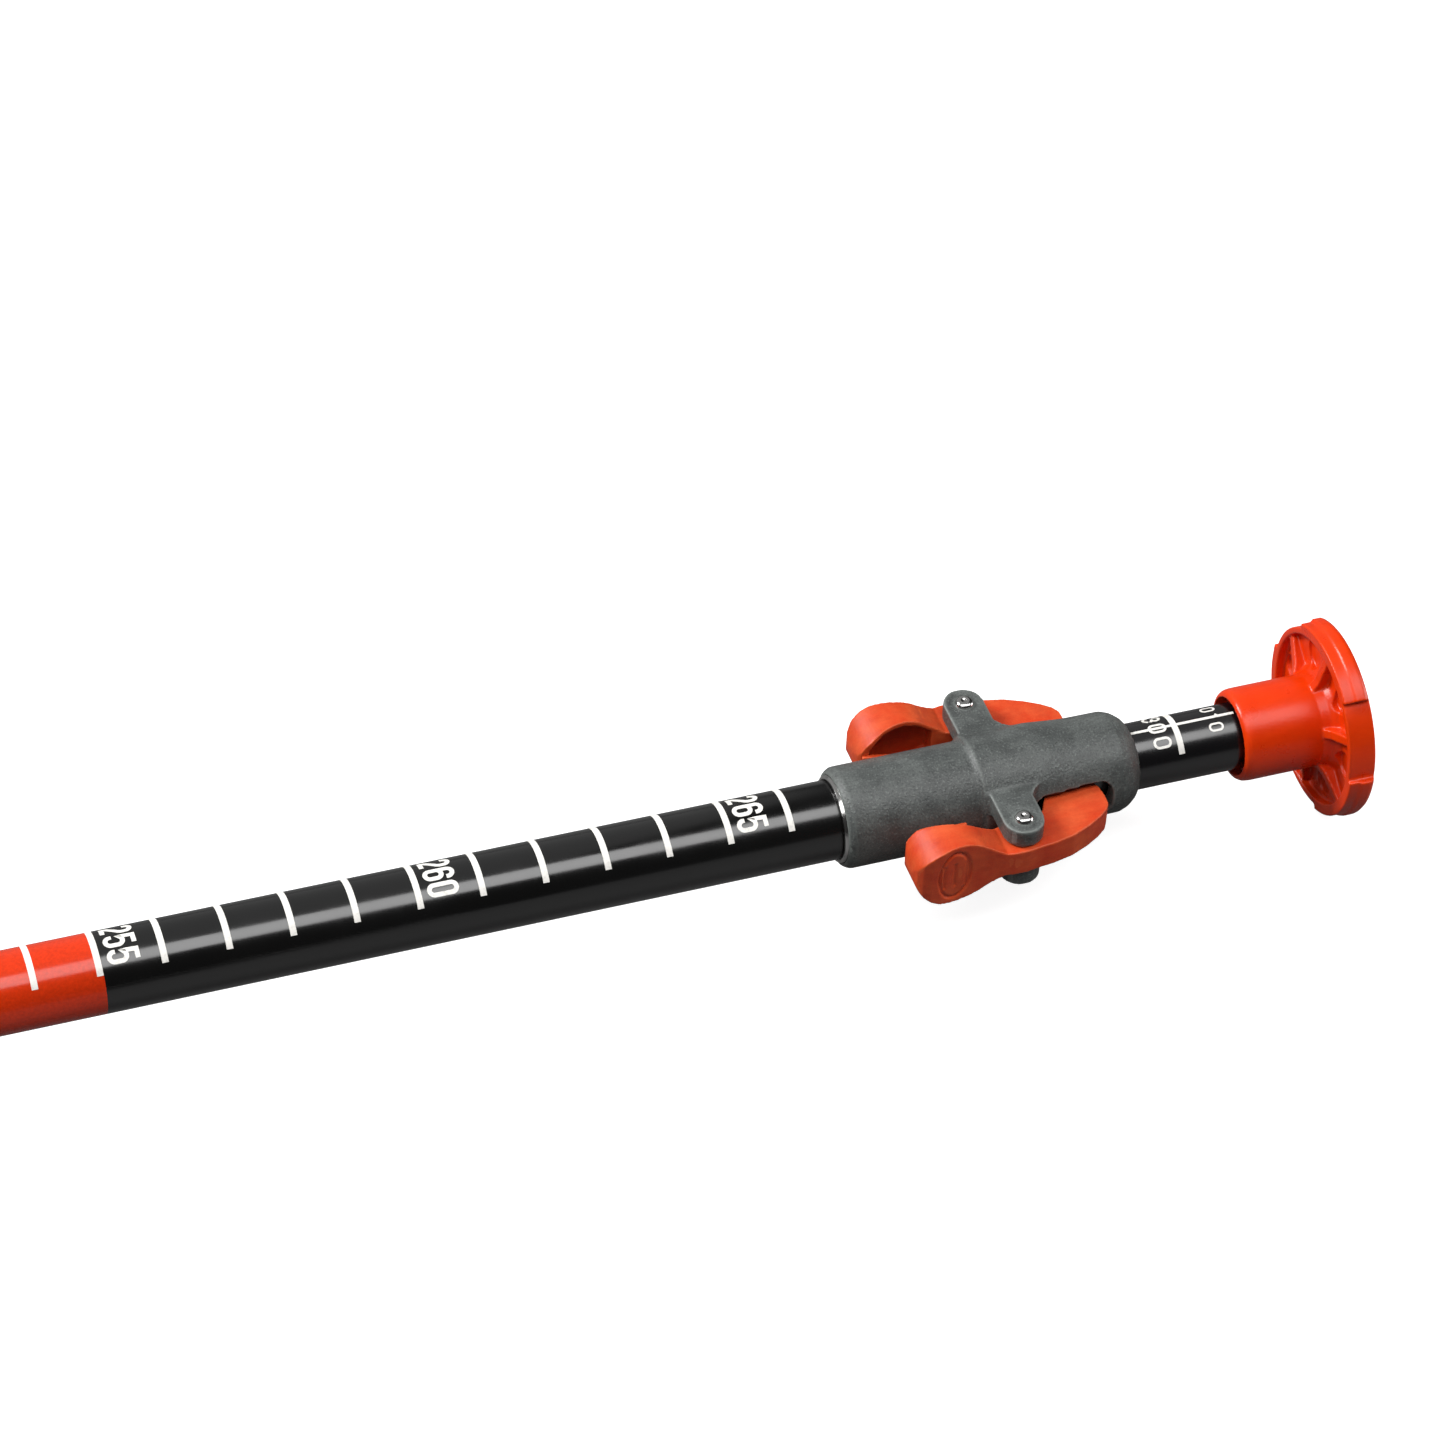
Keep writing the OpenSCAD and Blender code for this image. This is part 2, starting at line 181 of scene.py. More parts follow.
@dataclass(frozen=True)
class Lacquer:
    """Gloss lacquer on a drawn tube."""

    name: str
    colour: str
    roughness: float = 0.2
    gloss_index: float = 1.8
    peel_mm: float = 0.5
    peel_depth_mm: float = 0.0016

    def build(self) -> bpy.types.Material:
        """Makes the material.

        Returns:
            The lacquer.
        """
        s = Shader(self.name)
        mm = s.millimetres()
        grain = s.noise(mm, self.peel_mm, 4.0, 0.7)
        smudge = s.noise(mm, 9.0, 3.0)
        rough = s.remap(smudge, 0.3, 0.7, self.roughness * 0.85, self.roughness * 1.25)
        base = linear(self.colour)
        lighter = tuple(min(1.0, c * 1.25) for c in base[:3]) + (1.0,)
        tone = s.blend(s.remap(grain, 0.35, 0.65, 0, 1), base, lighter)
        return s.finish(grain, self.peel_depth_mm, Base_Color=tone, Roughness=rough, IOR=self.gloss_index)


@dataclass(frozen=True)
class Moulded:
    """Moulded plastic with a fine grain and cloudy flow marks.

    Cloud, speck and the edge strength are the strengths of the mottling, the grain's flecks and the pale convex edges;
    those pale edges are part wear and part painted edge highlight.
    Skin is the share of light that goes into the plastic.
    """

    name: str
    colour: str
    dark: str
    pale: str
    roughness: float
    grain_mm: float
    grain_depth_mm: float
    cloud: float = 0.5
    speck: float = 0.5
    edge_wear_and_highlight: float = 0.0
    skin: float = 0.03
    index: float = 1.52

    def build(self) -> bpy.types.Material:
        """Makes the material.

        Returns:
            The plastic.
        """
        s = Shader(self.name)
        mm = s.millimetres()
        grain = s.noise(mm, self.grain_mm, 2.0, 0.6)
        cloud = s.noise(mm, 5.5, 4.0, 0.62)
        streak = s.add("Mapping", {"Vector": mm, "Scale": (0.35, 1.0, 1.0)})
        flow = s.noise(streak.outputs[0], 1.6, 4.0, 0.65)
        tone = s.blend(s.remap(cloud, 0.36, 0.68, 0, self.cloud), linear(self.colour), linear(self.pale))
        tone = s.blend(s.remap(flow, 0.40, 0.70, 0, self.cloud * 0.7), tone, linear(self.dark))
        tone = s.blend(s.remap(grain, 0.56, 0.74, 0, self.speck), tone, linear(self.pale))
        tone = s.blend(s.remap(grain, 0.44, 0.28, 0, self.speck), tone, linear(self.dark))
        # Convex edges are painted paler by pointiness: part wear, part painted edge highlight standing in for light
        # catching the edges.
        if self.edge_wear_and_highlight:
            edge = s.add("NewGeometry").outputs["Pointiness"]
            tone = s.blend(s.remap(edge, 0.508, 0.54, 0, self.edge_wear_and_highlight), tone, linear(self.pale))
        rough = s.remap(cloud, 0.3, 0.7, self.roughness * 0.86, self.roughness * 1.12)
        height = s.add("Math", {0: s.remap(grain, 0.3, 0.7, 0, 1), 1: s.remap(flow, 0.3, 0.7, 0, 0.4)}, operation="ADD")
        return s.finish(
            height.outputs[0],
            self.grain_depth_mm,
            Base_Color=tone,
            Roughness=rough,
            IOR=self.index,
            Subsurface_Weight=self.skin,
            Subsurface_Radius=(1.0, 0.25, 0.15),
            Subsurface_Scale=0.6 * MM,
        )


@dataclass(frozen=True)
class Metal:
    """Turned or drawn metal with fine marks round the axis it was turned on."""

    name: str
    colour: str
    roughness: float
    line_mm: float = 0.12
    line_depth_mm: float = 0.0015

    def build(self) -> bpy.types.Material:
        """Makes the material.

        Returns:
            The metal.
        """
        s = Shader(self.name)
        mm = s.millimetres()
        stretched = s.add("Mapping", {"Vector": mm, "Scale": (1.0, 0.08, 0.08)})
        lines = s.noise(stretched.outputs[0], self.line_mm, 2.0)
        film = s.noise(mm, 3.0, 3.0)
        rough = s.remap(film, 0.3, 0.7, self.roughness * 0.8, self.roughness * 1.3)
        return s.finish(lines, self.line_depth_mm, Base_Color=linear(self.colour), Metallic=1.0, Roughness=rough)


@dataclass(frozen=True)
class PrintInk:
    """Screen-printed ink."""

    name: str
    colour: str

    def build(self) -> bpy.types.Material:
        """Makes the material.

        Returns:
            The ink.
        """
        s = Shader(self.name)
        mm = s.millimetres()
        thin = s.noise(mm, 0.5, 3.0)
        base = linear(self.colour)
        weak = tuple(c * 0.72 for c in base[:3]) + (1.0,)
        tone = s.blend(s.remap(thin, 0.5, 0.75, 0, 0.8), base, weak)
        return s.finish(thin, 0.003, Base_Color=tone, Roughness=0.42, IOR=1.5)


@dataclass(frozen=True)
class Braid:
    """Braided cord. Pieces with a Strand map show the braid, others a plain weave."""

    name: str
    colour: str
    fleck: str
    mapped: bool = False

    def build(self) -> bpy.types.Material:
        """Makes the material.

        Returns:
            The cord.
        """
        s = Shader(self.name)
        mm = s.millimetres()
        if self.mapped:
            strand = s.add("UVMap", uv_map="Strand").outputs[0]
            parts = s.add("SeparateXYZ", {0: strand})
            waves = []
            for sign in (1.0, -1.0):
                turn = s.add("Math", {0: parts.outputs[1], 1: sign * 0.9}, operation="MULTIPLY").outputs[0]
                both = s.add("Math", {0: parts.outputs[0], 1: turn}, operation="ADD").outputs[0]
                waves.append(s.add("Math", {0: both, 1: 0.5}, operation="PINGPONG").outputs[0])
            height = s.add("Math", {0: waves[0], 1: waves[1]}, operation="MAXIMUM").outputs[0]
            height = s.remap(height, 0.2, 0.5, 0, 1)
        else:
            height = s.noise(mm, 0.4, 2.0)
        fluff = s.noise(mm, 0.25, 3.0)
        tone = s.blend(s.remap(fluff, 0.45, 0.7, 0, 0.6), linear(self.colour), linear(self.fleck))
        return s.finish(height, 0.16, Base_Color=tone, Roughness=0.8, IOR=1.5, Sheen_Weight=0.2)


class Finish(Enum):
    """Every finish used on the probe."""

    # deep black with a bright band along the tube and a faint orange peel
    TUBE_BLACK = Lacquer("gloss_black_lacquer_on_aluminium", "060606", 0.17)
    # the same lacquer in signal red, with a weaker shine over the colour
    TUBE_RED = Lacquer("gloss_red_lacquer_on_aluminium", "c22f0a", 0.17, 1.5)
    # black with a slightly softer shine
    INNER_BLACK = Lacquer("black_anodised_aluminium", "060507", 0.2)
    # mottled mid grey, grainy, with pale edges that are part wear and part painted edge highlight
    HOUSING = Moulded("glass_filled_nylon_grey", "424544", "2c2e2d", "717673", 0.46, 0.34, 0.045, 0.42, 0.8, 0.8, 0.0)
    # dull brick red with cloudy flow marks and slightly pale edges, part wear and part painted edge highlight
    LEVER = Moulded("tough_nylon_red", "c63a14", "96220a", "df6a38", 0.44, 0.28, 0.012, 0.45, 0.16, 0.3, 0.03, 1.42)
    # clean orange red with soft highlights and faintly pale edges, part wear and part painted edge highlight
    HANDLE = Moulded(
        "gloss_nylon_orange_red", "da3400", "b42000", "ea4606", 0.3, 0.35, 0.008, 0.25, 0.05, 0.2, 0.03, 1.42
    )
    # small sharp glints
    STEEL = Metal("polished_stainless_steel", "c9c8c6", 0.16)
    # satin silver with turning marks
    ALUMINIUM = Metal("turned_aluminium", "b9bbbd", 0.28)
    # near black, satin
    BLACK_SCREW = Moulded("black_oxide_steel", "141415", "0a0a0a", "262627", 0.35, 0.2, 0.004, 0.2, 0.2, 0.0, 0.0)
    # off white, thinner in spots
    INK = PrintInk("white_print_ink", "eceae4")
    # matt cream cord, plain inside the tubes and braided where it shows; the braid is drawn coarse enough to show
    CORD = Braid("braided_nylon_cord", "d8d3c4", "b7b09c")
    BRAIDED = Braid("braided_nylon_cord_strands", "d8d3c4", "b7b09c", True)


class Palette:
    """Builds each finish once."""

    def __init__(self) -> None:
        """Starts with no materials."""
        self._made: dict[Finish, bpy.types.Material] = {}

    def __getitem__(self, finish: Finish) -> bpy.types.Material:
        """Gives the material of a finish."""
        if finish not in self._made:
            self._made[finish] = finish.value.build()
        return self._made[finish]


# ---- shapes ----


@dataclass(frozen=True)
class Place:
    """A local frame in millimetres, placed in the row frame."""

    origin: Vector
    heading: float = 0.0
    upright: bool = False

    def matrix(self) -> Matrix:
        """Gives the local-to-row matrix.

        Returns:
            Matrix from local millimetres to row metres. With upright set, local X points up.
        """
        turn = Matrix.Rotation(self.heading, 4, "Z")
        if self.upright:
            turn = turn @ Matrix.Rotation(-math.pi / 2, 4, "Y")
        return Matrix.Translation(self.origin) @ turn @ Matrix.Scale(MM, 4)

    def point(self, x: float, y: float, z: float = 0.0) -> Vector:
        """Gives a local point, in millimetres, in the row frame, in metres."""
        return self.matrix() @ Vector((x, y, z))


def linked(name: str, data: bpy.types.ID) -> bpy.types.Object:
    """Makes an object and links it to the scene.

    Args:
        name: object name.
        data: its mesh, light or camera.

    Returns:
        The object.
    """
    obj = bpy.data.objects.new(name, data)
    bpy.context.collection.objects.link(obj)
    return obj


def ring_point(x: float, r: float, k: int, steps: int) -> tuple[float, float, float]:
    """Gives point k of the steps points on a circle of radius r about the local X axis."""
    angle = 2 * math.pi * k / steps
    return x, r * math.cos(angle), r * math.sin(angle)


def turned(bm: bmesh.types.BMesh, outline: Sequence[tuple[float, float, int]], steps: int = 96) -> None:
    """Turns a closed outline about the local X axis.

    Args:
        bm: mesh that receives the faces.
        outline: x, radius and the material slot of the side that follows.
        steps: sides round the axis.
    """
    rings = []
    for x, r, _ in outline:
        if r < 1e-6:
            rings.append([bm.verts.new((x, 0, 0))] * steps)
            continue
        rings.append([bm.verts.new(ring_point(x, r, k, steps)) for k in range(steps)])
    for i, (_, _, slot) in enumerate(outline):
        near, far = rings[i], rings[(i + 1) % len(rings)]
        for k in range(steps):
            n = (k + 1) % steps
            corners = list(dict.fromkeys((near[k], near[n], far[n], far[k])))
            if len(corners) > 2:
                bm.faces.new(corners).material_index = slot


def sweep(bm: bmesh.types.BMesh, path: Sequence[Vector], radius: float, steps: int = 20) -> None:
    """Sweeps a round section along a path in the XY plane.

    Args:
        bm: mesh that receives the faces.
        path: points of the centre line, in millimetres.
        radius: radius of the section.
        steps: sides round the path.
    """
    layer = bm.loops.layers.uv.new("Strand")
    rings, lengths, run = [], [], 0.0
    for i, p in enumerate(path):
        ahead = (path[min(i + 1, len(path) - 1)] - path[max(i - 1, 0)]).normalized()
        side = Vector((-ahead.y, ahead.x, 0))
        run += (p - path[i - 1]).length if i else 0.0
        lengths.append(run)
        circle = [ring_point(0.0, radius, k, steps) for k in range(steps)]
        rings.append([bm.verts.new(p + side * c + Vector((0, 0, s))) for _, c, s in circle])
    for i in range(len(path) - 1):
        for k in range(steps):
            n = (k + 1) % steps
            face = bm.faces.new((rings[i][k], rings[i][n], rings[i + 1][n], rings[i + 1][k]))
            marks = ((k, i), (k + 1, i), (k + 1, i + 1), (k, i + 1))
            for loop, (a, b) in zip(face.loops, marks):
                loop[layer].uv = (4 * a / steps, lengths[b])
    bm.faces.new(rings[0])
    bm.faces.new(rings[-1])


def piece(
    name: str,
    bm: bmesh.types.BMesh,
    place: Place,
    materials: Sequence[bpy.types.Material],
    crease: float = 32.0,
) -> bpy.types.Object:
    """Turns a bmesh into a shown object.

    Args:
        name: object name.
        bm: mesh in local millimetres, freed here.
        place: where it goes.
        materials: material slots.
        crease: angle in degrees above which an edge stays sharp.

    Returns:
        The object, with its mesh in the row frame.
    """
    bm.transform(place.matrix())
    bmesh.ops.recalc_face_normals(bm, faces=bm.faces)
    mesh = bpy.data.meshes.new(name)
    bm.to_mesh(mesh)
    bm.free()
    return shown(name, mesh, materials, crease)


def shown(
    name: str, mesh: bpy.types.Mesh, materials: Sequence[bpy.types.Material], crease: float
) -> bpy.types.Object:
    """Links a finished mesh with smooth shading.

    Args:
        name: object name.
        mesh: its mesh, in the row frame.
        materials: material slots.
        crease: angle in degrees above which an edge stays sharp.

    Returns:
        The object.
    """
    for i, material in enumerate(materials):
        if i < len(mesh.materials):
            mesh.materials[i] = material
        else:
            mesh.materials.append(material)
    mesh.shade_smooth()
    mesh.set_sharp_from_angle(angle=math.radians(crease))
    LOG.info("%s has %d faces", name, len(mesh.polygons))
    return linked(name, mesh)


def applied(obj: bpy.types.Object) -> bpy.types.Mesh:
    """Applies an object's modifiers and removes the object.

    Args:
        obj: object with modifiers.

    Returns:
        The resulting mesh.
    """
    graph = bpy.context.evaluated_depsgraph_get()
    graph.update()
    mesh = bpy.data.meshes.new_from_object(obj.evaluated_get(graph))
    old = obj.data
    bpy.data.objects.remove(obj)
    bpy.data.meshes.remove(old)
    return mesh


def softened(
    name: str,
    node: str,
    material: bpy.types.Material,
    voxel_mm: float,
    rounds: int,
    keep: float,
    cutter: bmesh.types.BMesh | None = None,
) -> bpy.types.Object:
    """Makes a moulded-looking piece from a CAD node's shape, with its edges rounded.

    Args:
        name: object name.
        node: CAD node that gives the shape.
        material: its finish.
        voxel_mm: size of the skin's cells.
        rounds: smoothing rounds, more for rounder edges.
        keep: share of the faces to keep.
        cutter: shape to engrave, in row metres.

    Returns:
        The new object.
    """
    source = frame["nodes"][node]
    bm = bmesh.new()
    bm.from_mesh(source.data)
    bm.transform(source.matrix_world)
    bmesh.ops.remove_doubles(bm, verts=bm.verts, dist=1e-6)
    bmesh.ops.recalc_face_normals(bm, faces=bm.faces)
    mesh = bpy.data.meshes.new(name + "_blank")
    bm.to_mesh(mesh)
    bm.free()
    obj = linked(name + "_blank", mesh)
    tool = None
    if cutter is not None:
        tool_mesh = bpy.data.meshes.new(name + "_tool")
        bmesh.ops.recalc_face_normals(cutter, faces=cutter.faces)
        cutter.to_mesh(tool_mesh)
        cutter.free()
        tool = linked(name + "_tool", tool_mesh)
        cut = obj.modifiers.new("engrave", "BOOLEAN")
        cut.operation, cut.solver, cut.object = "DIFFERENCE", "EXACT", tool
    skin = obj.modifiers.new("skin", "REMESH")
    skin.mode, skin.voxel_size = "VOXEL", voxel_mm * MM
    smooth = obj.modifiers.new("smooth", "SMOOTH")
    smooth.factor, smooth.iterations = 0.5, rounds
    if keep < 1:
        thin = obj.modifiers.new("thin", "DECIMATE")
        thin.ratio = keep
    mesh = applied(obj)
    if tool is not None:
        bpy.data.objects.remove(tool)
    mesh.name = name
    return shown(name, mesh, [material], 60.0)


# ---- printed scale ----


def arc(cx: float, cy: float, r: float, start: float, end: float) -> list[Pair]:
    """Points of an arc.

    Args:
        cx: centre.
        cy: centre.
        r: radius.
        start: first angle in degrees.
        end: last angle in degrees.

    Returns:
        Points about 15 degrees apart.
    """
    n = max(2, int(abs(end - start) / 15))
    angles = [math.radians(start + (end - start) * k / n) for k in range(n + 1)]
    return [(cx + r * math.cos(a), cy + r * math.sin(a)) for a in angles]


@dataclass(frozen=True)
class Numerals:
    """Figures drawn with one pen width."""

    height: float
    width: float
    pen: float
    pitch: float

    def strokes(self, figure: str) -> list[tuple[list[Pair], bool]]:
        """Centre lines of a figure.

        Args:
            figure: one digit.

        Returns:
            Lines of points with a flag for closed ones, centred on 0 and standing on 0.
        """
        w = (self.width - self.pen) / 2
        h = self.height - self.pen
        top, low = h - w, w
        if figure == "0":
            return [(arc(0, top, w, 0, 180) + arc(0, low, w, 180, 360), True)]
        if figure == "1":
            return [([(-0.75 * w, 0.78 * h), (0.2 * w, h), (0.2 * w, 0)], False)]
        if figure == "2":
            leg = [(w, 0.66 * h), (0.8 * w, 0.56 * h), (-0.9 * w, 0.16 * h), (-w, 0), (w, 0)]
            return [([(-w, top - 0.3)] + arc(0, top, w, 180, 0) + leg, False)]
        if figure == "3":
            up, down = 0.76 * h, 0.27 * h
            waist = (-0.1 * w, 0.53 * h)
            head = [(-w, top - 0.2)] + arc(0, top, w, 180, 0) + [(w, up - 0.1 * h), (0.75 * w, 0.55 * h), waist]
            belly = [waist, (0.75 * w, 0.51 * h), (w, 0.41 * h), (w, down)] + arc(0, low, w, 0, -180)
            return [(head, False), (belly + [(-w, low + 0.2)], False)]
        if figure == "4":
            return [([(0.45 * w, 0), (0.45 * w, h), (-w, 0.27 * h), (1.2 * w, 0.27 * h)], False)]
        if figure == "5":
            bowl = 0.62 * h - w
            flag = [(w, h), (-0.9 * w, h), (-w, 0.5 * h)]
            return [(flag + arc(0, bowl, w, 140, 0) + arc(0, low, w, 0, -180) + [(-w, low + 0.25)], False)]
        if figure in "69":
            bowl = 0.6 * h - w
            line = [(w, top - 0.25)] + arc(0, top, w, 0, 180) + arc(0, low, w, 180, 360) + arc(0, bowl, w, 0, 165)
            return [(line if figure == "6" else [(-x, h - y) for x, y in line], False)]
        if figure == "7":
            return [([(-w, h), (w, h), (-0.3 * w, 0)], False)]
        mid = 0.54 * h
        lower = arc(0, mid - w, w, 0, 180) + arc(0, low, w, 180, 360)
        return [(lower, True), (arc(0, top, w, 0, 180) + arc(0, mid + w, w, 180, 360), True)]

    def draw(
        self, bm: bmesh.types.BMesh, text: str, x: float, angle: float, radius: float, lift: float = 0.035
    ) -> None:
        """Prints a number on a tube, its figures standing along the tube.

        Args:
            bm: mesh that receives the print.
            text: digits.
            x: foot of the figures along the tube.
            angle: middle of the number round the tube in degrees, 90 on top.
            radius: radius of the tube.
            lift: thickness of the ink above the tube.
        """
        for i, figure in enumerate(text):
            offset = (i - (len(text) - 1) / 2) * self.pitch

            def wrap(u: float, v: float, r: float) -> Vector:
                """Puts a point of the flat figure on the tube."""
                a = math.radians(angle) + (offset + u) / radius
                return Vector((x + self.pen / 2 + v, r * math.cos(a), r * math.sin(a)))

            for line, closed in self.strokes(figure):
                ribbon(bm, line, closed, self.pen / 2, wrap, (radius - 0.05, radius + lift))


def ribbon(
    bm: bmesh.types.BMesh,
    line: Sequence[Pair],
    closed: bool,
    half: float,
    wrap: Callable[[float, float, float], Vector],
    radii: Pair,
) -> None:
    """Lays a flat line of one width on a curved surface.

    Args:
        bm: mesh that receives it.
        line: centre line.
        closed: whether the ends join.
        half: half the width.
        wrap: maps across, along and radius to a point.
        radii: lower and upper radius of the ink.
    """
    points: list[Vector] = []
    count = len(line)
    for i in range(count if closed else count - 1):
        a, b = Vector(line[i]), Vector(line[(i + 1) % count])
        if (b - a).length < 1e-4:
            continue
        n = max(1, math.ceil((b - a).length / 0.7))
        points.extend(a.lerp(b, k / n) for k in range(n))
    if not closed:
        points.append(Vector(line[-1]))
    total = len(points)
    rows = []
    for i, p in enumerate(points):
        before = points[i - 1] if closed or i else points[i] * 2 - points[i + 1]
        after = points[(i + 1) % total] if closed or i < total - 1 else points[i] * 2 - points[i - 1]
        d0, d1 = (p - before).normalized(), (after - p).normalized()
        n0, n1 = Vector((-d0.y, d0.x)), Vector((-d1.y, d1.x))
        mitre = (n0 + n1) / max(0.35, (n0 + n1).length_squared / 2)
        row = []
        for r in radii:
            for side in (-half, half):
                q = p + mitre * side
                row.append(bm.verts.new(wrap(q.x, q.y, r)))
        rows.append(row)
    for i in range(total if closed else total - 1):
        a, b = rows[i], rows[(i + 1) % total]
        for j, k in ((0, 1), (1, 3), (3, 2), (2, 0)):
            bm.faces.new((a[j], a[k], b[k], b[j]))
    if not closed:
        for row in (rows[0], rows[-1]):
            bm.faces.new((row[0], row[1], row[3], row[2]))


class TickPrinter:
    """Repeats one curved tick along a tube with Geometry Nodes."""

    arc_points = 33
    lift = 0.07
    drift = 0.03

    def __init__(self, ink: bpy.types.Material) -> None:
        """Builds the node tree.

        Args:
            ink: material of the ticks.
        """
        self.tree = bpy.data.node_groups.new("tick_row", "GeometryNodeTree")
        side = self.tree.interface
        side.new_socket("Geometry", in_out="OUTPUT", socket_type="NodeSocketGeometry")
        self.ids: dict[str, str] = {}
        kinds = {"Count": "Int", "Seed": "Int", "Ink": "Material"}
        for label in ("Count", "First", "Pitch", "Width", "Sweep", "Radius", "Lift", "Drift", "Seed", "Ink"):
            kind = "NodeSocket" + kinds.get(label, "Float")
            self.ids[label] = side.new_socket(label, in_out="INPUT", socket_type=kind).identifier
        self.ink = ink
        self._wire()

    def _node(self, kind: str, inputs: Inputs | None = None, **settings: object) -> bpy.types.Node:
        """Adds a node of the full type given."""
        return add_node(self.tree, kind, inputs, **settings)

    def _math(self, operation: str, a: object, b: object = 0.0) -> bpy.types.NodeSocket:
        """Adds a math node for two values."""
        return self._node("ShaderNodeMath", {0: a, 1: b}, operation=operation).outputs[0]

    def _wire(self) -> None:
        """Connects the tree: a thin bar is bent round the tube and set on each point of a line."""
        given = self.tree.nodes.new("NodeGroupInput").outputs
        size = self._node("ShaderNodeCombineXYZ", {0: given["Width"], 1: given["Sweep"], 2: given["Lift"]})
        cells = {"Vertices X": 2, "Vertices Y": self.arc_points, "Vertices Z": 2}
        bar = self._node("GeometryNodeMeshCube", {"Size": size.outputs[0]} | cells)
        spot = self._node("ShaderNodeSeparateXYZ", {0: self._node("GeometryNodeInputPosition").outputs[0]})
        angle = self._math("ADD", spot.outputs[1], math.pi / 2)
        radius = self._math("ADD", spot.outputs[2], given["Radius"])
        across = self._math("MULTIPLY", radius, self._math("COSINE", angle))
        up = self._math("MULTIPLY", radius, self._math("SINE", angle))
        bent = self._node("ShaderNodeCombineXYZ", {0: spot.outputs[0], 1: across, 2: up})
        tick = self._node("GeometryNodeSetPosition", {"Geometry": bar.outputs[0], "Position": bent.outputs[0]})
        start = self._node("ShaderNodeCombineXYZ", {0: given["First"]})
        step = self._node("ShaderNodeCombineXYZ", {0: given["Pitch"]})
        line = {"Count": given["Count"], "Start Location": start.outputs[0], "Offset": step.outputs[0]}
        row = self._node("GeometryNodeMeshLine", line)
        low = self._math("MULTIPLY", given["Drift"], -1.0)
        spread = {2: low, 3: given["Drift"], "Seed": given["Seed"]}
        drift = self._node("FunctionNodeRandomValue", spread, data_type="FLOAT")
        shift = self._node("ShaderNodeCombineXYZ", {0: drift.outputs[1]})
        points = self._node("GeometryNodeSetPosition", {"Geometry": row.outputs[0], "Offset": shift.outputs[0]})
        ticks = self._node("GeometryNodeInstanceOnPoints", {"Points": points.outputs[0], "Instance": tick.outputs[0]})
        real = self._node("GeometryNodeRealizeInstances", {0: ticks.outputs[0]})
        inked = self._node("GeometryNodeSetMaterial", {"Geometry": real.outputs[0], "Material": given["Ink"]})
        self._node("NodeGroupOutput", {0: inked.outputs[0]})

    def row(
        self, count: int, first: float, pitch: float, width: float, sweep: float, radius: float, seed: int
    ) -> bpy.types.Mesh:
        """Makes a row of ticks.

        Args:
            count: number of ticks.
            first: place of the first along the tube, in millimetres.
            pitch: step, in millimetres.
            width: width of a tick along the tube.
            sweep: angle a tick covers, in degrees.
            radius: radius of the tube.
            seed: seed of the print's small drift.

        Returns:
            A mesh in local millimetres.
        """
        obj = linked("ticks_blank", bpy.data.meshes.new("ticks_blank"))
        modifier = obj.modifiers.new("ticks", "NODES")
        modifier.node_group = self.tree
        values = {"Count": count, "First": first, "Pitch": pitch, "Width": width, "Sweep": math.radians(sweep)}
        values |= {"Radius": radius, "Lift": self.lift, "Drift": self.drift, "Seed": seed, "Ink": self.ink}
        for label, value in values.items():
            modifier[self.ids[label]] = value
        return applied(obj)


# ---- sub-assemblies ----


